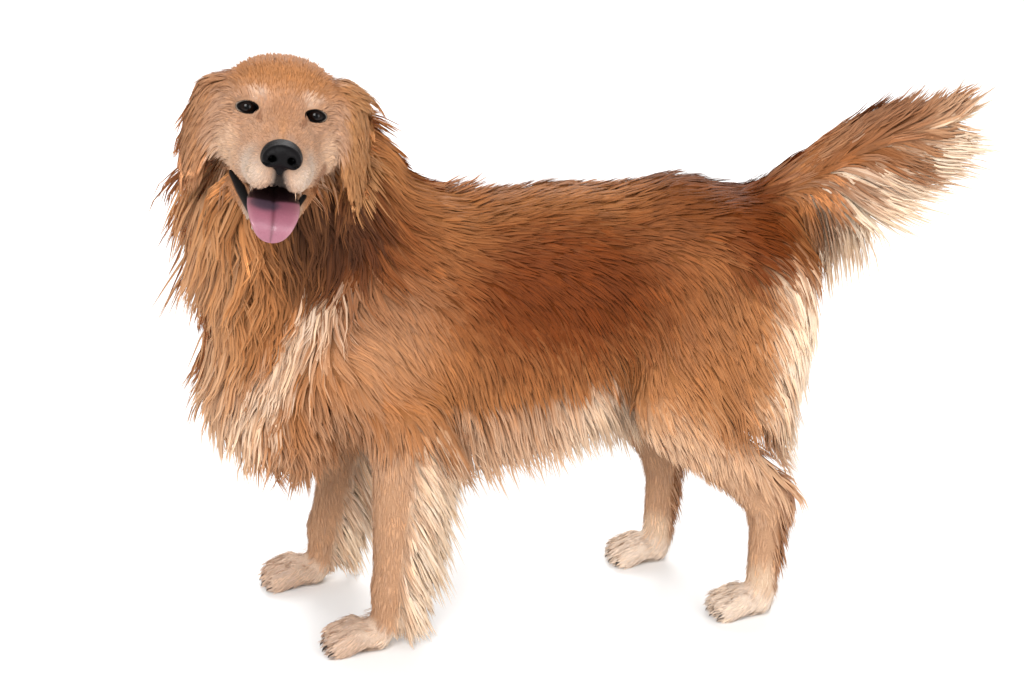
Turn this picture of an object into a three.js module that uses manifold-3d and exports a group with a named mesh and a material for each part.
// A standing long-coated retriever, head turned to its left, mouth open, tail swung out behind it.
// Millimetres, +Z up. The dog faces -X and its left side faces -Y. The origin is on the floor,
// under the middle of the whole figure.
import * as THREE from "three";
import { LoftGeometry } from "three/addons/geometries/LoftGeometry.js";
import { mergeVertices } from "three/addons/utils/BufferGeometryUtils.js";
import Module from "manifold-3d";

const wasm = await Module();
wasm.setup();

// ---------------------------------------------------------------- driving dimensions
const CHEST_HALF = 118; // half the width of the ribcage
const FOREPAW = { long: 96, wide: 74 };
const HINDPAW = { long: 90, wide: 68 };
const EYE_HALF = 40.3; // half the distance between the eyes
const EYE_SHIFT = 1.8; // both eyes sit this much to the right of the middle of the face
const EYE_RADIUS = 12.5;
const GAP = 0.45; // clearance between two touching nodes
const SMALLEST = 0.1; // detail finer than this is smoothed away
const LOCK_THICKNESS = 0.26; // a lock's thickness as a share of its width

const V = (x, y, z) => new THREE.Vector3(x, y, z);
const lerp = THREE.MathUtils.lerp;
// The value at a share t along a list of evenly spaced values.
function along(values, t) {
  const spot = THREE.MathUtils.clamp(t, 0, 1) * (values.length - 1);
  const low = Math.min(Math.floor(spot), values.length - 2);
  return lerp(values[low], values[low + 1], spot - low);
}
const DOWN = V(0, 0, -1);
const ACROSS = V(0, 1, 0);
const left = -1; // the sign of Y on the dog's left
const right = 1;

// A repeatable random number from 0 to 1.
let drawn = 7;
function chance() {
  drawn = (drawn * 16807) % 2147483647;
  return drawn / 2147483647;
}
const vary = (middle, share) => middle * (1 + share * (2 * chance() - 1));

// ---------------------------------------------------------------- flesh as blended oval masses
// An oval capsule from a to b. Radii are [across, deep, end] at each end, across being along side.
function mass(a, b, ra, rb = ra, { side = ACROSS, blend = 28 } = {}) {
  const run = b.clone().sub(a);
  const length = run.length();
  const along = length > 0 ? run.clone().divideScalar(length) : V(1, 0, 0);
  const across = side.clone().addScaledVector(along, -side.dot(along)).normalize();
  const deep = along.clone().cross(across);
  return { a, run, length, along, across, deep, ra, rb, blend };
}

const q = new THREE.Vector3();
function distanceTo(m, p) {
  q.copy(p).sub(m.a);
  const t = m.length > 0 ? THREE.MathUtils.clamp(q.dot(m.run) / m.length ** 2, 0, 1) : 0;
  q.addScaledVector(m.run, -t);
  const offset = [q.dot(m.across), q.dot(m.deep), q.dot(m.along)];
  const radius = m.ra.map((r, i) => lerp(r, m.rb[i], t));
  const k0 = Math.hypot(...offset.map((o, i) => o / radius[i]));
  const k1 = Math.hypot(...offset.map((o, i) => o / radius[i] ** 2));
  return k1 > 0 ? (k0 * (k0 - 1)) / k1 : -Math.min(...radius);
}

// The signed distance to all masses, joined with soft fillets; hollows are carved out the same way.
function flesh(masses, hollows = []) {
  return (p) => {
    let d = 1e3;
    for (const m of masses) {
      const e = distanceTo(m, p);
      const h = Math.max(m.blend - Math.abs(d - e), 0) / m.blend;
      d = Math.min(d, e) - (h * h * m.blend) / 4;
    }
    for (const m of hollows) {
      const e = -distanceTo(m, p);
      const h = Math.max(m.blend - Math.abs(d - e), 0) / m.blend;
      d = Math.max(d, e) + (h * h * m.blend) / 4;
    }
    return d;
  };
}

function normalAt(field, p) {
  const e = 0.5;
  const part = (v) => field(p.clone().add(v)) - field(p.clone().sub(v));
  return V(part(V(e, 0, 0)), part(V(0, e, 0)), part(V(0, 0, e))).normalize();
}

// The distance from p along direction to the surface of the field, grown by grow.
function reachOf(field, p, direction, grow, furthest = 400) {
  let inside = 0;
  let outside = 4;
  const at = (r) => field(p.clone().addScaledVector(direction, r)) - grow;
  while (at(outside) < 0 && outside < furthest) {
    inside = outside;
    outside += 4;
  }
  for (let i = 0; i < 12; i++) {
    const middle = (inside + outside) / 2;
    if (at(middle) < 0) inside = middle;
    else outside = middle;
  }
  return (inside + outside) / 2;
}

// A body part: a field, the line through its middle, and how many rings and sides cover it.
function part(field, points, { rings, sides, side = ACROSS, ease = 1 }) {
  const ends = [points[0], points.at(-1)];
  const outward = [
    points[0].clone().sub(points[1]).normalize(),
    points.at(-1).clone().sub(points.at(-2)).normalize(),
  ];
  const tips = ends.map((end, i) =>
    end.clone().addScaledVector(outward[i], reachOf(field, end, outward[i], 0) * 0.985));
  const line = new THREE.CatmullRomCurve3([tips[0], ...points, tips[1]], false, "centripetal");
  return { field, line, rings, sides, side, ease };
}

// The place, outward direction and frame at a share t along a part and an angle round it.
// Angle 0 points along side x tangent (mostly up on a level part), a quarter turn along side.
function aroundPart(body, t, angle, grow = 0) {
  const middle = body.line.getPointAt(THREE.MathUtils.clamp(t, 0, 1));
  const tangent = body.line.getTangentAt(THREE.MathUtils.clamp(t, 0, 1));
  const across = body.side.clone().addScaledVector(tangent, -body.side.dot(tangent)).normalize();
  const up = tangent.clone().cross(across);
  const direction = up.multiplyScalar(Math.cos(angle)).addScaledVector(across, Math.sin(angle));
  const reach = reachOf(body.field, middle, direction, grow);
  return middle.addScaledVector(direction, reach);
}

// Rings crowd towards both domed ends.
const easeEnds = (s, ease) => lerp(s, (1 - Math.cos(Math.PI * s)) / 2, ease);

function wrap(body, grow = 0) {
  const sections = [];
  for (let i = 0; i < body.rings; i++) {
    const t = easeEnds(i / (body.rings - 1), body.ease);
    const ring = [];
    for (let j = 0; j < body.sides; j++)
      ring.push(aroundPart(body, t, (2 * Math.PI * j) / body.sides, grow));
    sections.push(ring);
  }
  if (grow > 0) {
    const out = (k) => body.line.getTangentAt(k).multiplyScalar(k ? grow : -grow);
    sections[0].forEach((p) => p.add(out(0)));
    sections.at(-1).forEach((p) => p.add(out(1)));
  }
  return skinned(sections);
}

// ---------------------------------------------------------------- solids
function solidOf(geometry) {
  const plain = new THREE.BufferGeometry();
  plain.setAttribute("position", geometry.getAttribute("position"));
  plain.setIndex(geometry.index);
  const merged = mergeVertices(plain, 1e-4);
  const corners = merged.index.array;
  const kept = [];
  for (let i = 0; i < corners.length; i += 3) {
    const [a, b, c] = corners.slice(i, i + 3);
    if (a !== b && b !== c && a !== c) kept.push(a, b, c);
  }
  const vertProperties = merged.attributes.position.array;
  const made = new wasm.Manifold(new wasm.Mesh({
    numProp: 3, vertProperties, triVerts: new Uint32Array(kept),
  }));
  if (made.volume() > 0) return made;
  return new wasm.Manifold(new wasm.Mesh({
    numProp: 3, vertProperties, triVerts: new Uint32Array(kept.reverse()),
  }));
}

// A closed skin over the sections; each end closes on the middle of its section.
function skinned(sections) {
  const closing = (ring) => {
    const middle = ring.reduce((sum, p) => sum.add(p), V(0, 0, 0)).divideScalar(ring.length);
    return ring.map(() => middle);
  };
  const ends = [closing(sections[0]), closing(sections.at(-1))];
  return solidOf(new LoftGeometry([ends[0], ...sections, ends[1]]));
}

const joined = (solids) => wasm.Manifold.union(solids);
const largest = (solid) =>
  solid.decompose().reduce((most, one) => (one.volume() > most.volume() ? one : most));

function geometryOf(solid) {
  const mesh = solid.getMesh();
  const geometry = new THREE.BufferGeometry();
  geometry.setAttribute("position", new THREE.BufferAttribute(mesh.vertProperties, 3));
  geometry.setIndex(new THREE.BufferAttribute(mesh.triVerts, 1));
  geometry.computeVertexNormals();
  return geometry;
}

// A box whose top face is the floor, which every sole is cut level with.
function floorSolid() {
  const box = new THREE.BoxGeometry(3000, 2000, 200);
  box.translate(0, 0, -100);
  return solidOf(box);
}

// ---------------------------------------------------------------- locks of hair
// A lock is a flat ribbon of hair: widest near its root, thick in the middle, closing on its tip.
const LOCK_WIDTHS = [0.8, 1, 0.86, 0.5];
const LOCK_STATIONS = [0, 0.3, 0.6, 0.84];

function lockSolid(lock, grow) {
  const line = new THREE.CatmullRomCurve3(lock.points, false, "centripetal");
  const sections = LOCK_STATIONS.map((t, i) => {
    const tangent = line.getTangentAt(t);
    const out = lock.out.clone().addScaledVector(tangent, -lock.out.dot(tangent)).normalize();
    const across = tangent.clone().cross(out);
    const half = (lock.width * LOCK_WIDTHS[i]) / 2 + grow;
    const thick = lock.width * LOCK_WIDTHS[i] * LOCK_THICKNESS + grow;
    const middle = line.getPointAt(t);
    const ridge = middle.clone().addScaledVector(out, thick);
    const edges = [half, -half].map((size) =>
      middle.clone().addScaledVector(across, size).addScaledVector(out, -0.35 * thick));
    return [edges[0], ridge, edges[1]];
  });
  const tip = line.getPointAt(1).addScaledVector(line.getTangentAt(1), grow);
  sections.push(sections[0].map(() => tip));
  return skinned(sections);
}

// Grows a lock from a place on the skin. It follows the flow, lifts off the skin towards its tip,
// and sags under its own weight once it is clear of the skin.
const LOCK_STEPS = 4;
const LOCK_FLOOR = 8; // no lock hangs lower than this
function growLock(skin, place, flow, { length, width, lift, sag = 0 }) {
  const out = normalAt(skin, place);
  const points = [place.clone().addScaledVector(out, -0.3 * width)];
  const at = place.clone();
  const long = vary(length, 0.12);
  const turn = 0.16 * (2 * chance() - 1);
  const heading = V(0, 0, 0);
  for (let i = 1; i <= LOCK_STEPS; i++) {
    const share = i / LOCK_STEPS;
    const normal = normalAt(skin, at);
    const lie = flow.clone().normalize();
    lie.addScaledVector(normal, -Math.min(0, lie.dot(normal)));
    lie.addScaledVector(normal.clone().cross(lie), turn * (1.5 - share));
    heading.copy(lie.addScaledVector(DOWN, sag * share).normalize());
    at.addScaledVector(heading, long / LOCK_STEPS);
    const height = skin(at);
    const wanted = lift * share ** 0.8;
    if (height < wanted) at.addScaledVector(normalAt(skin, at), wanted - height);
    at.z = Math.max(at.z, LOCK_FLOOR);
    points.push(at.clone());
  }
  return { points, out, width: vary(width, 0.12) };
}

// A row of locks round a part: at share t along it, from one angle to another in degrees.
function lockRow(body, skin, t, from, to, count, flow, look) {
  const row = [];
  for (let i = 0; i < count; i++) {
    const share = count > 1 ? (i + 0.36 * (chance() - 0.5)) / (count - 1) : 0.5;
    const angle = THREE.MathUtils.degToRad(lerp(from, to, share));
    const place = aroundPart(body, t + 0.02 * (chance() - 0.5), angle);
    const lie = typeof flow === "function" ? flow(angle, place) : flow;
    row.push(growLock(skin, place, lie, look));
  }
  return row;
}

// ---------------------------------------------------------------- torso
const forechest = V(-262, 0, 420);
const croup = V(332, 0, 470);
const torsoMasses = [
  mass(V(-185, 0, 436), V(60, 0, 434), [CHEST_HALF, 144, 110], [CHEST_HALF, 142, 110]),
  mass(V(60, 0, 443), V(215, 0, 460), [108, 132, 90], [100, 122, 90]),
  mass(V(215, 0, 464), croup, [98, 116, 80], [74, 92, 62]),
  mass(forechest, V(-180, 0, 420), [88, 112, 74], [104, 138, 90]),
  mass(V(-120, 0, 352), V(140, 0, 372), [84, 66, 70], [76, 52, 60]),
];
for (const y of [left, right]) {
  torsoMasses.push(
    mass(V(-105, y * 52, 520), V(-232, y * 76, 392), [46, 62, 50], [50, 60, 50]),
    mass(V(-226, y * 80, 384), V(-164, y * 88, 318), [46, 54, 46], [42, 50, 42]),
    mass(V(262, y * 50, 500), V(330, y * 52, 420), [52, 66, 50], [48, 58, 44]),
    mass(V(338, y * 46, 450), V(336, y * 58, 330), [40, 52, 40], [32, 46, 40]),
  );
}
torsoMasses.push(
  mass(V(-288, 0, 410), V(-288, 0, 330), [88, 96, 70], [78, 84, 60]),
  mass(V(-288, 0, 330), V(-268, 0, 288), [78, 84, 60], [46, 56, 44]),
  mass(V(-90, 0, 330), V(150, 0, 342), [66, 56, 60], [56, 50, 60]),
);
const torsoField = flesh(torsoMasses);
const torso = part(torsoField, [forechest, V(-150, 0, 430), V(60, 0, 440), V(220, 0, 462), croup], {
  rings: 14,
  sides: 20,
  ease: 0.5,
});

// ---------------------------------------------------------------- head frame
// Head places are written (right, forward, up) from the point midway between the eyes.
const headPlace = V(-309, -172, 729);
const headYaw = THREE.MathUtils.degToRad(-4.5);
const headPitch = THREE.MathUtils.degToRad(5.5);
const headRoll = THREE.MathUtils.degToRad(9.5);
const headForward = V(
  Math.sin(headYaw) * Math.cos(headPitch),
  -Math.cos(headYaw) * Math.cos(headPitch),
  Math.sin(headPitch),
);
const level = headForward.clone().cross(V(0, 0, 1)).normalize();
const upright = level.clone().cross(headForward);
const headRight = level.clone().multiplyScalar(Math.cos(headRoll))
  .addScaledVector(upright, Math.sin(headRoll));
const headUp = headRight.clone().cross(headForward);

const onHead = (r, f, u) => headPlace.clone()
  .addScaledVector(headRight, r).addScaledVector(headForward, f).addScaledVector(headUp, u);
const headWay = (r, f, u) => V(0, 0, 0)
  .addScaledVector(headRight, r).addScaledVector(headForward, f).addScaledVector(headUp, u);

function headMass(a, b, ra, rb = ra, blend = 16, side = headRight) {
  return mass(onHead(...a), onHead(...b), ra, rb, { side, blend });
}

// ---------------------------------------------------------------- neck
const neckFoot = V(-178, 0, 455);
const neckTop = V(-300, -66, 664);
const neckMasses = [
  mass(neckFoot, V(-262, -28, 590), [108, 124, 100], [98, 114, 90]),
  mass(V(-262, -28, 590), neckTop, [98, 114, 90], [80, 90, 66]),
  mass(V(-120, 0, 530), V(-232, -20, 618), [64, 48, 46], [58, 46, 46]),
];
neckMasses.push(mass(V(-298, -34, 604), V(-292, -8, 470), [96, 100, 80], [96, 96, 80]));
const neckField = flesh(neckMasses);
const neck = part(neckField, [neckFoot, V(-228, -12, 535), V(-274, -34, 605), neckTop], {
  rings: 10,
  sides: 18,
  ease: 0.7,
});

// ---------------------------------------------------------------- head
const headMasses = [
  headMass([0, -90, 0], [0, -34, 9], [70, 54, 40], [67, 50, 40], 20),
  headMass([0, -28, 2], [0, 24, -22], [38, 28, 24], [29, 24, 20], 26),
  headMass([0, 14, -32], [0, 80, -40], [34, 26, 24], [27, 21, 18], 20),
  headMass([0, 58, -62], [0, 79, -61], [11, 14, 8], [10, 13, 8], 10),
];
for (const r of [-1, 1]) {
  headMasses.push(
    headMass([r * 24, -14, 19], [r * 46, -24, 13], [15, 13, 12], [14, 12, 12], 14),
    headMass([r * 50, -62, -26], [r * 47, -16, -38], [36, 40, 30], [25, 28, 22], 24),
    headMass([r * 27, 16, -54], [r * 20, 74, -58], [20, 26, 18], [18, 23, 14], 14),
    headMass([r * 46, -16, -50], [r * 34, 20, -58], [14, 22, 16], [16, 24, 16], 16),
    headMass([r * 28, -6, -14], [r * 24, 30, -30], [15, 14, 14], [14, 14, 14], 16),
  );
}
const headHollows = [headMass([0, -12, -88], [0, 62, -84], [20, 16, 14], [14, 13, 12], 8)];
const headField = flesh(headMasses, headHollows);
const headLine = [onHead(0, -90, -8), onHead(0, -40, -12), onHead(0, 20, -32), onHead(0, 80, -42)];
const head = part(headField, headLine, {
  rings: 19,
  sides: 24,
  side: headRight,
  ease: 0.35,
});

// ---------------------------------------------------------------- eyes and lids
// Each eyeball sits in a domed pair of lids. The opening between them is an almond: the overlap of
// two ovals, one holding the upper lid's edge and one the lower's.
const EYE_FORWARD = -6.5;
const LID_THICK = 2.4;
const ALMOND = [17.5, 14.5]; // half the width and height of each oval
const ALMOND_SHIFT = 6.8; // how far each oval's middle lies from the middle of the opening
const eyeAt = (r) => onHead(r * EYE_HALF + EYE_SHIFT, EYE_FORWARD, 0);
const headTurn = new THREE.Quaternion().setFromRotationMatrix(
  new THREE.Matrix4().makeBasis(headRight, headForward, headUp));

function ballAt(centre, radii, round = 14, high = 9) {
  const ball = new THREE.SphereGeometry(1, round, high);
  ball.rotateX(Math.PI / 2);
  ball.scale(...radii);
  ball.applyQuaternion(headTurn);
  ball.translate(centre.x, centre.y, centre.z);
  return solidOf(ball);
}
const roundBall = (centre, radius) => ballAt(centre, [radius, radius, radius]);
const eyeball = (r, grow) => roundBall(eyeAt(r), EYE_RADIUS + grow);
const lids = (r, grow) => roundBall(eyeAt(r), EYE_RADIUS + LID_THICK + grow);
function opening(r) {
  const ovals = [ALMOND_SHIFT, -ALMOND_SHIFT].map((shift) => {
    const middle = eyeAt(r).add(headWay(r * 2.5, EYE_RADIUS, shift + 0.6));
    return ballAt(middle, [ALMOND[0], 14, ALMOND[1]], 12, 6);
  });
  return ovals[0].intersect(ovals[1]);
}

// ---------------------------------------------------------------- nose
const noseMasses = [
  headMass([0, 88, -33], [0, 100, -34], [21, 15, 10], [18, 12, 7], 10),
  headMass([-14, 92, -40], [-13.5, 99, -41], [10, 11, 9], [9, 9.5, 7], 8),
  headMass([14, 92, -40], [13.5, 99, -41], [10, 11, 9], [9, 9.5, 7], 8),
  headMass([0, 89, -48], [0, 89, -56], [9, 8, 7], [4, 4, 4], 8),
];
const noseLine = [onHead(0, 86, -36), onHead(0, 94, -37), onHead(0, 99, -38)];
const nose = part(flesh(noseMasses), noseLine, { rings: 8, sides: 18, side: headRight, ease: 0.6 });
// Each nostril is a round hole running into a slit at the side; a groove parts the two.
const nostrils = [-1, 1].flatMap((r) => [
  ballAt(onHead(r * 9.5, 108, -40), [4.8, 7, 4], 7, 5),
  ballAt(onHead(r * 15.5, 103, -44.5), [5, 6, 1.7], 6, 4),
]);
const noseGroove = ballAt(onHead(0, 108, -52), [0.9, 6, 11], 6, 4);

// ---------------------------------------------------------------- lower jaw, teeth and tongue
const jawMasses = [
  headMass([0, -40, -90], [0, 54, -126], [34, 16, 14], [20, 13, 13], 12),
  headMass([-43, -30, -84], [-19, 60, -116], [11, 15, 12], [8, 10, 9], 8),
  headMass([43, -30, -84], [19, 60, -116], [11, 15, 12], [8, 10, 9], 8),
  headMass([-16, 62, -117], [16, 62, -117], [8, 8, 8], [8, 8, 8], 8, headForward),
];
const jawHollow = headMass([0, -30, -66], [0, 50, -100], [29, 16, 14], [15, 11, 10], 6);
const jawLine = [onHead(0, -42, -92), onHead(0, 10, -111), onHead(0, 58, -128)];
const jaw = part(flesh(jawMasses, [jawHollow]), jawLine, {
  rings: 11,
  sides: 15,
  side: headRight,
  ease: 0.5,
});

function tooth(r, f, u, wide, tall) {
  const cone = new THREE.ConeGeometry(wide, tall, 6);
  cone.translate(0, tall / 2 - 3, 0);
  const turn = new THREE.Quaternion().setFromUnitVectors(V(0, 1, 0), headUp);
  cone.applyQuaternion(turn);
  const place = onHead(r, f, u);
  cone.translate(place.x, place.y, place.z);
  return solidOf(cone);
}
const teeth = [-1, 1].map((r) => tooth(r * 19, 60, -110, 3.6, 20));
for (let i = -2.5; i <= 2.5; i++) teeth.push(tooth(i * 4.6, 66 - Math.abs(i) * 0.9, -111, 2.4, 8));

const tongueLine = new THREE.CatmullRomCurve3([
  onHead(0, -12, -88), onHead(0, 24, -95), onHead(0, 52, -101), onHead(0, 74, -107),
  onHead(0, 87, -117), onHead(0, 90, -127), onHead(0, 88, -137),
]);
const TONGUE_ROOT = 20; // half widths
const TONGUE_WIDEST = 30.5;
const TONGUE_TIP = 0.62; // share of the length where the rounded tip begins
function tongueHalf(t) {
  const widening = lerp(TONGUE_ROOT, TONGUE_WIDEST, Math.min(1, t / 0.45));
  const tip = Math.max(0, (t - TONGUE_TIP) / (1 - TONGUE_TIP));
  return widening * Math.sqrt(Math.max(0.02, 1 - tip ** 2.2));
}
// A slab with round edges: a face of points running across its front, then one back across its rear.
function slabRing(middle, wide, outer, half, thick, columns, bow) {
  const ring = [];
  for (const face of [1, -1])
    for (let j = 0; j < columns; j++) {
      const x = face * lerp(-1, 1, j / (columns - 1)) * (face > 0 ? 1 : 0.92);
      const edge = Math.sqrt(Math.max(0, 1 - x * x));
      ring.push(middle.clone().addScaledVector(wide, half * x)
        .addScaledVector(outer, face * (thick * edge + 0.7) + bow(x, face)));
    }
  return ring;
}
function tongueSolid(grow) {
  const sections = [];
  const steps = 10;
  const bow = (x, face) => 2.6 * x * x - (face > 0 && Math.abs(x) < 0.1 ? 2.2 : 0);
  for (let i = 0; i <= steps; i++) {
    const t = Math.sin((Math.PI / 2) * (i / steps)) ** 1.3;
    const tangent = tongueLine.getTangentAt(t);
    const top = headRight.clone().cross(tangent).normalize();
    const half = tongueHalf(t) + grow;
    const thick = lerp(5, 3, t) + grow;
    sections.push(slabRing(tongueLine.getPointAt(t), headRight, top, half, thick, 7, bow));
  }
  return skinned(sections);
}

// ---------------------------------------------------------------- legs
// Each sole is centred here; the foot points along -X.
const sole = {
  foreleg_left: V(-226, left * 102, 0),
  foreleg_right: V(-280, right * 115, 0),
  hindleg_left: V(289, left * 104, 0),
  hindleg_right: V(200, right * 92, 0),
};

function pawPart(at, { long, wide }) {
  const masses = [
    mass(at.clone().add(V(long * 0.3, 0, 15)), at.clone().add(V(0, 0, 19)),
      [wide * 0.38, 17, 15], [wide * 0.44, 20, 20], { blend: 14 }),
  ];
  for (const i of [-1.5, -0.5, 0.5, 1.5]) {
    const y = i * wide * 0.25;
    const front = long * 0.36 - Math.abs(i) * 5;
    masses.push(mass(at.clone().add(V(0, y * 0.85, 22)), at.clone().add(V(-front, y, 11)),
      [wide * 0.13, 16, 12], [wide * 0.125, 15, 11], { blend: 5 }));
  }
  const line = [at.clone().add(V(long * 0.3, 0, 15)), at.clone().add(V(0, 0, 18)),
    at.clone().add(V(-long * 0.32, 0, 12))];
  return part(flesh(masses), line, { rings: 8, sides: 15, ease: 0.35 });
}

function claws(at, { long, wide }) {
  return [-1.5, -0.5, 0.5, 1.5].map((i) => {
    const cone = new THREE.ConeGeometry(3.2, 19, 4);
    cone.rotateZ(Math.PI / 2 + 0.7);
    const front = long * 0.36 - Math.abs(i) * 5 + 10.5;
    cone.translate(at.x - front, at.y + i * wide * 0.25, 9);
    return solidOf(cone);
  });
}

function foreleg(at, side) {
  const elbow = V(lerp(at.x + 50, -150, 0.6), side * 96, 300);
  const wrist = V(at.x + 46, at.y, 80);
  const ankle = V(at.x + 40, at.y, 34);
  const limb = flesh([
    mass(elbow, wrist, [36, 44, 34], [27, 27, 24], { blend: 20 }),
    mass(wrist, ankle, [27, 27, 24], [27, 26, 22], { blend: 16 }),
  ]);
  const line = [elbow, elbow.clone().lerp(wrist, 0.5), wrist, ankle];
  return part(limb, line, { rings: 9, sides: 12, ease: 0.3 });
}

function thigh(at, side) {
  const hip = V(268, side * 60, 450);
  const knee = kneeOf(at, side);
  const field = flesh([
    mass(hip, knee, [48, 84, 56], [36, 56, 44], { blend: 30 }),
    mass(V(312, side * 62, 430), V(310, side * 84, 300), [42, 58, 50], [34, 42, 44], { blend: 34 }),
  ]);
  const line = [hip, hip.clone().lerp(knee, 0.5).add(V(24, 0, -4)), knee.clone().add(V(34, 0, 6))];
  return part(field, line, { rings: 9, sides: 14, ease: 0.6 });
}

const kneeOf = (at, side) => V(lerp(at.x, 268, 0.45) - 92, side * 102, 300);

function shank(at, side) {
  const knee = kneeOf(at, side);
  const hock = V(at.x + 34, at.y, 158);
  const ankle = V(at.x + 28, at.y, 34);
  const field = flesh([
    mass(knee, hock, [32, 46, 36], [25, 30, 26], { blend: 30 }),
    mass(hock, ankle, [24, 27, 24], [24, 24, 22], { blend: 24 }),
  ]);
  const line = [knee, knee.clone().lerp(hock, 0.55), hock.clone().add(V(-10, 0, 8)),
    V(at.x + 31, at.y, 96), ankle];
  return part(field, line, { rings: 10, sides: 12, ease: 0.3 });
}

// ---------------------------------------------------------------- tail
const tailLine = new THREE.CatmullRomCurve3([
  V(345, 0, 542), V(388, -8, 574), V(450, -24, 604), V(520, -42, 634), V(556, -50, 652),
]);
const TAIL_HALF = [28, 26, 21, 15, 6];
function tailSolid(grow) {
  const sections = [];
  const steps = 7;
  const sides = 10;
  for (let i = 0; i <= steps; i++) {
    const half = along(TAIL_HALF, i / steps) + grow;
    const middle = tailLine.getPoint(i / steps);
    const tangent = tailLine.getTangent(i / steps);
    const across = ACROSS.clone().addScaledVector(tangent, -ACROSS.dot(tangent)).normalize();
    const up = tangent.clone().cross(across);
    const ring = [];
    for (let j = 0; j < sides; j++) {
      const a = (2 * Math.PI * j) / sides;
      ring.push(middle.clone().addScaledVector(up, half * Math.cos(a))
        .addScaledVector(across, half * Math.sin(a)));
    }
    sections.push(ring);
  }
  return skinned(sections);
}
// Plume rows: share along the tail, direction in degrees above level, length.
const PLUME = [
  [0.95, 50, 72], [0.96, 20, 66], [0.9, -12, 84], [0.8, 52, 92], [0.76, -36, 112], [0.66, 50, 96],
  [0.64, 8, 112], [0.56, -50, 118], [0.5, 48, 96], [0.48, -22, 118], [0.42, -60, 124], [0.3, 42, 96],
  [0.3, -40, 130], [0.24, -68, 130], [0.1, -80, 100],
];
// Each side leaves out a different row in three, so the locks of the two sides interleave.
const plumeRows = (y) => PLUME.filter((row, i) => i % 3 !== (y === left ? 2 : 1));
function plumeLocks() {
  const locks = [];
  for (const y of [left, right])
    for (const [share, degrees, length] of plumeRows(y)) {
      const upper = degrees > 22;
      const angle = THREE.MathUtils.degToRad(degrees + 5 * (chance() - 0.5));
      const flow = V(Math.cos(angle), -0.25 * Math.cos(angle) + y * 0.05, Math.sin(angle));
      const middle = tailLine.getPointAt(share);
      const root = middle.clone().add(V(0, y * (upper ? 5 : 8), upper ? 2 : -4));
      const long = vary(length, 0.08);
      const points = [0, 0.3, 0.66, 1].map((t) =>
        root.clone().addScaledVector(flow, long * t)
          .add(V(0, y * 8 * Math.sin(Math.PI * t * 0.8), (upper ? 3 : -5) * Math.sin(Math.PI * t))));
      locks.push({ points, out: V(0.2, y, 0.1).normalize(), width: vary(30, 0.12) });
    }
  return locks;
}

// ---------------------------------------------------------------- ears
// A hanging flap: its line runs from the root over the fold and down the cheek.
function earLine(r) {
  const low = r > 0 ? 1 : 0; // the right ear hangs lower and closer
  return new THREE.CatmullRomCurve3([
    onHead(r * 50, -66, 24 - 10 * low), onHead(r * (68 - 2 * low), -62, 30 - 11 * low),
    onHead(r * (84 - 4 * low), -58, 12 - 8 * low), onHead(r * (90 - 5 * low), -56, -22 - 3 * low),
    onHead(r * (95 - 6 * low), -54, -58 + 8 * low), onHead(r * (103 - 10 * low), -52, -94 + 14 * low),
  ]);
}
const EAR_HALF = [20, 33, 38, 40, 36, 18];
const EAR_THICK = [14, 15, 15, 14, 12, 8];
const earWide = (r) => headWay(-r * 0.5, 0.866, 0);
const earOut = (r, tangent) => earWide(r).cross(tangent).multiplyScalar(-r).normalize();
function earSolid(r, grow) {
  const line = earLine(r);
  const sections = [];
  const steps = 8;
  for (let i = 0; i <= steps; i++) {
    const t = i / steps;
    const cup = 9 * Math.sin(Math.PI * Math.min(1, t * 1.2));
    const half = along(EAR_HALF, t) + grow;
    const thick = along(EAR_THICK, t) / 2 + grow;
    sections.push(slabRing(line.getPointAt(t), earWide(r), earOut(r, line.getTangentAt(t)),
      half, thick, 5, (x) => -cup * x * x));
  }
  return skinned(sections);
}

// ---------------------------------------------------------------- limbs and their locks
const limbs = {};
const paws = {};
for (const [name, at] of Object.entries(sole)) {
  const [kind, hand] = name.split("_");
  const side = hand === "left" ? left : right;
  if (kind === "foreleg") {
    limbs[name] = { body: foreleg(at, side), side, at };
    paws[`forepaw_${hand}`] = { body: pawPart(at, FOREPAW), claws: claws(at, FOREPAW) };
  } else {
    limbs[`thigh_${hand}`] = { body: thigh(at, side), side, at };
    limbs[`shank_${hand}`] = { body: shank(at, side), side, at };
    paws[`hindpaw_${hand}`] = { body: pawPart(at, HINDPAW), claws: claws(at, HINDPAW) };
  }
}

// ---------------------------------------------------------------- where the locks grow
const trunk = flesh([...torsoMasses, ...neckMasses]);
const locksOf = { torso: [], neck: [], tail: plumeLocks() };

for (const y of [left, right]) {
  const bellyFlow = V(0.32, y * 0.16, -1);
  const fringe = { length: 106, width: 44, lift: 7, sag: 0.4 };
  for (const t of [0.335, 0.41, 0.485, 0.56, 0.635, 0.7])
    locksOf.torso.push(...lockRow(torso, trunk, t, y * 118, y * 118, 1, bellyFlow, fringe));
  for (const t of [0.37, 0.45, 0.53, 0.61])
    locksOf.torso.push(...lockRow(torso, trunk, t, y * 146, y * 146, 1, bellyFlow, fringe));
}

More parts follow.
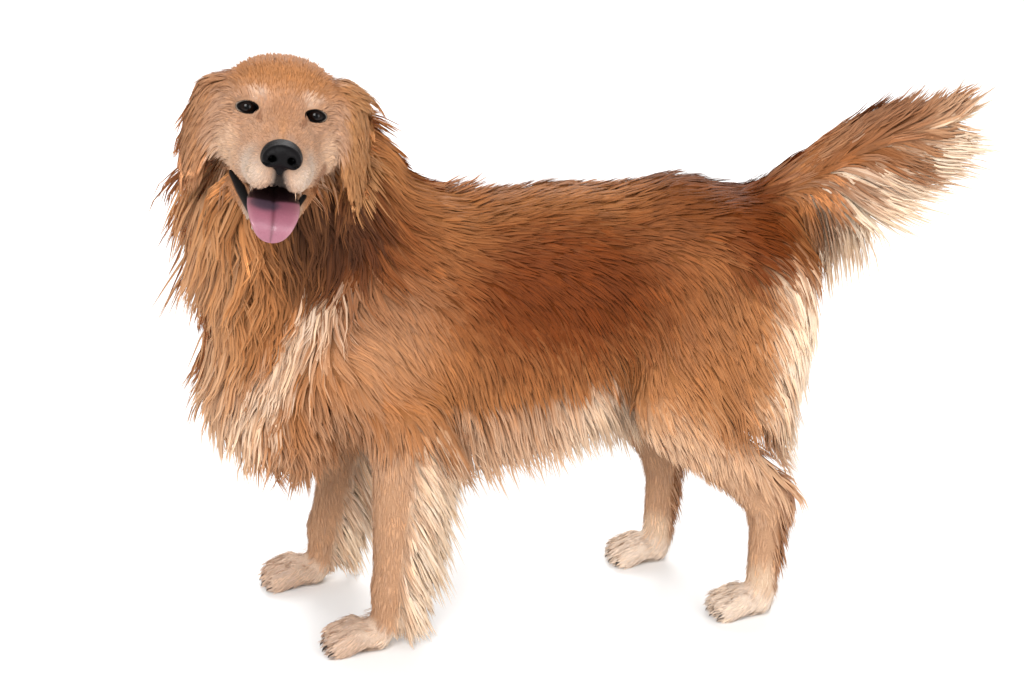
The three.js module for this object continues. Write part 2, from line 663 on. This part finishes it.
// The bib and the ruff hang from rings round an upright line inside the chest and neck.
function hangingRow(height, x, y, from, to, count, look, spread = 0.3) {
  const row = [];
  for (let i = 0; i < count; i++) {
    const angle = THREE.MathUtils.degToRad(lerp(from, to, (i + 0.4 * (chance() - 0.5)) / (count - 1)));
    const way = V(-Math.cos(angle), Math.sin(angle), 0);
    const centre = V(x, y, height + 14 * (chance() - 0.5));
    const place = centre.addScaledVector(way, reachOf(trunk, centre, way, 0));
    row.push(growLock(trunk, place, way.multiplyScalar(spread).add(V(0.12, 0, -1)), look));
  }
  return row;
}
const bib = { length: 112, width: 44, lift: 30, sag: 0.6 };
locksOf.torso.push(
  ...hangingRow(290, -250, 0, -60, 60, 5, { ...bib, length: 84, lift: 10 }, 0),
  ...hangingRow(342, -245, 0, -92, 92, 7, { ...bib, width: 48, length: 92, lift: 18 }, 0.05),
  ...hangingRow(398, -232, 0, -112, 112, 7, { ...bib, width: 52, lift: 26 }, 0.2),
);
const ruff = { length: 112, width: 44, lift: 34, sag: 0.5 };
locksOf.neck.push(
  ...hangingRow(478, -246, -8, -118, 118, 8, { ...ruff, width: 50 }, 0.3),
  ...hangingRow(536, -256, -18, -122, 122, 9, { ...ruff, width: 48 }, 0.35),
  ...hangingRow(596, -266, -30, -128, 120, 8, { ...ruff, lift: 38 }, 0.5),
  ...hangingRow(645, -280, -45, 50, 110, 2, { ...ruff, length: 90 }, 0.5),
  ...hangingRow(604, -272, -34, -8, 64, 3, { ...ruff, length: 112, lift: 64, sag: 0.7 }, 0.8),
);

for (const [name, limb] of Object.entries(limbs)) {
  const { body, side } = limb;
  const rows = [];
  if (name.startsWith("foreleg"))
    for (const t of [0.24, 0.37, 0.5, 0.63, 0.75])
      rows.push(...lockRow(body, body.field, t, -24, 24, 2, V(0.74, side * 0.04, -1),
        { length: 98, width: 30, lift: 34, sag: 0.4 }));
  if (name.startsWith("thigh"))
    for (const t of [0.2, 0.46, 0.72])
      rows.push(...lockRow(body, body.field, t, -50, 40, 4, V(0.5, side * 0.06, -1),
        { length: 90, width: 36, lift: 26, sag: 0.5 }));
  if (name.startsWith("shank"))
    for (const [t, length, lift] of [[0.24, 84, 46], [0.42, 74, 34], [0.68, 46, 9]])
      rows.push(...lockRow(body, body.field, t, -16, 16, 1, V(0.5, 0, -1),
        { length, width: 24, lift, sag: 0.3 }));
  locksOf[name] = rows;
}

// Fringe along the lower edge and the back edge of each ear: share down the ear, place across it
// from the back edge (-1) to the front edge (1), and length.
const EAR_FRINGE = [
  [0.4, -0.9, 38], [0.54, -0.9, 42], [0.68, -0.9, 44], [0.82, -0.9, 44],
  [0.92, -0.4, 42], [0.94, 0.3, 38], [0.84, 0.85, 34],
];
function earLocks(r) {
  const line = earLine(r);
  return EAR_FRINGE.map(([t, edge, long]) => {
    const tangent = line.getTangentAt(t);
    const out = earOut(r, tangent);
    const root = line.getPointAt(t).addScaledVector(earWide(r), along(EAR_HALF, t) * edge * 0.8);
    const spread = r > 0 ? 0.3 : 0.5;
    const flow = tangent.addScaledVector(earWide(r), edge * spread).addScaledVector(out, 0.12).normalize();
    const length = vary(long, 0.1);
    const points = [0, 0.35, 0.7, 1].map((k) =>
      root.clone().addScaledVector(flow, length * k).addScaledVector(out, 7 * Math.sin(Math.PI * k)));
    return { points, out, width: vary(21, 0.1) };
  });
}

// ---------------------------------------------------------------- nodes
// A node is a core, cut clear of the cores that it gives way to, with its locks fused on. The locks
// are cut clear of every neighbouring core, and of the neighbouring locks made before them.
const nodes = {};
function addNode(name, look, core, { fixed = [], locks = [], under = [], beside = [], below = [] } = {}) {
  nodes[name] = { look, core, fixed, locks, under, beside, below };
}

addNode("eye_right", "eye", (grow) => [eyeball(1, grow)]);
addNode("eye_left", "eye", (grow) => [eyeball(-1, grow)]);
function noseCore(grow) {
  const whole = wrap(nose, grow);
  return [grow > 0 ? whole : whole.subtract(joined([...nostrils, noseGroove]))];
}
addNode("nose", "nose", noseCore);
function headCore(grow) {
  const skull = joined([wrap(head, grow), lids(1, grow), lids(-1, grow)]);
  return [grow > 0 ? skull : skull.subtract(joined([opening(1), opening(-1)]))];
}
addNode("head", "coat", headCore, { under: ["eye_right", "eye_left", "nose"] });
addNode("tongue", "tongue", (grow) => [tongueSolid(grow)], { under: ["head"] });
addNode("jaw", "pale", (grow) => [wrap(jaw, grow)], { fixed: teeth, under: ["head", "tongue"] });
for (const [r, hand] of [[1, "right"], [-1, "left"]])
  addNode(`ear_${hand}`, "coat", (grow) => [earSolid(r, grow)],
    { locks: earLocks(r), under: ["head", "jaw"], beside: ["neck"] });
addNode("neck", "coat", (grow) => [wrap(neck, grow)], {
  locks: locksOf.neck,
  under: ["head", "jaw", "tongue", "ear_right", "ear_left"],
  beside: ["torso", "foreleg_left", "foreleg_right"],
  below: ["ear_right", "ear_left"],
});
for (const [name, paw] of Object.entries(paws))
  addNode(name, "pale", (grow) => [wrap(paw.body, grow)], { fixed: paw.claws });
for (const [name, limb] of Object.entries(limbs)) {
  const [kind, hand] = name.split("_");
  const core = (grow) => [wrap(limb.body, grow)];
  const locks = locksOf[name];
  if (kind === "foreleg")
    addNode(name, "coat", core, {
      locks,
      under: [`forepaw_${hand}`],
      beside: ["torso", "neck"],
      below: ["neck"],
    });
  if (kind === "shank")
    addNode(name, "coat", core, { locks, under: [`hindpaw_${hand}`], beside: [`thigh_${hand}`] });
}
addNode("tail", "coat", (grow) => [tailSolid(grow)], {
  locks: locksOf.tail,
  beside: ["torso", "thigh_left", "thigh_right"],
});
for (const hand of ["left", "right"])
  addNode(`thigh_${hand}`, "coat", (grow) => [wrap(limbs[`thigh_${hand}`].body, grow)], {
    locks: locksOf[`thigh_${hand}`],
    under: [`shank_${hand}`],
    beside: ["torso", "tail"],
    below: ["tail", `shank_${hand}`],
  });
const limbNames = Object.keys(limbs);
addNode("torso", "coat", (grow) => [wrap(torso, grow)], {
  locks: locksOf.torso,
  under: ["neck", "tail", ...limbNames],
  below: ["neck", "tail", ...limbNames],
});

// ---------------------------------------------------------------- assembly
const made = new Map();
function once(key, make) {
  if (!made.has(key)) made.set(key, make());
  return made.get(key);
}
const grownCore = (name) => once(`core ${name}`, () => joined(nodes[name].core(GAP)));
const grownLocks = (name) => once(`locks ${name}`, () =>
  joined(nodes[name].locks.map((lock) => lockSolid(lock, GAP))));

const floor = floorSolid();
function build(name) {
  const { core, fixed, locks, under, beside, below } = nodes[name];
  const cores = under.map(grownCore);
  const body = joined([...core(0), ...fixed]).subtract(joined([floor, ...cores]));
  if (locks.length === 0) return largest(body).simplify(SMALLEST);
  const clear = joined([floor, ...cores, ...beside.map(grownCore), ...below.map(grownLocks)]);
  const coat = joined(locks.map((lock) => lockSolid(lock, 0))).subtract(clear);
  return largest(body.add(coat)).simplify(SMALLEST);
}

const looks = {
  coat: new THREE.MeshStandardMaterial({ color: 0xb5763f, roughness: 0.75, metalness: 0 }),
  pale: new THREE.MeshStandardMaterial({ color: 0xd9b48a, roughness: 0.75, metalness: 0 }),
  nose: new THREE.MeshStandardMaterial({ color: 0x1b1a1c, roughness: 0.35, metalness: 0 }),
  eye: new THREE.MeshStandardMaterial({ color: 0x120b08, roughness: 0.08, metalness: 0 }),
  tongue: new THREE.MeshStandardMaterial({ color: 0xc9667f, roughness: 0.4, metalness: 0 }),
};
const dog = new THREE.Group();
for (const [name, { look }] of Object.entries(nodes)) {
  const solid = build(name);
  const mesh = new THREE.Mesh(geometryOf(solid), looks[look]);
  mesh.name = name;
  dog.add(mesh);
}
const bounds = new THREE.Box3().setFromObject(dog);
const middle = bounds.getCenter(V(0, 0, 0));
dog.position.set(-middle.x, -middle.y, 0);
export default dog;
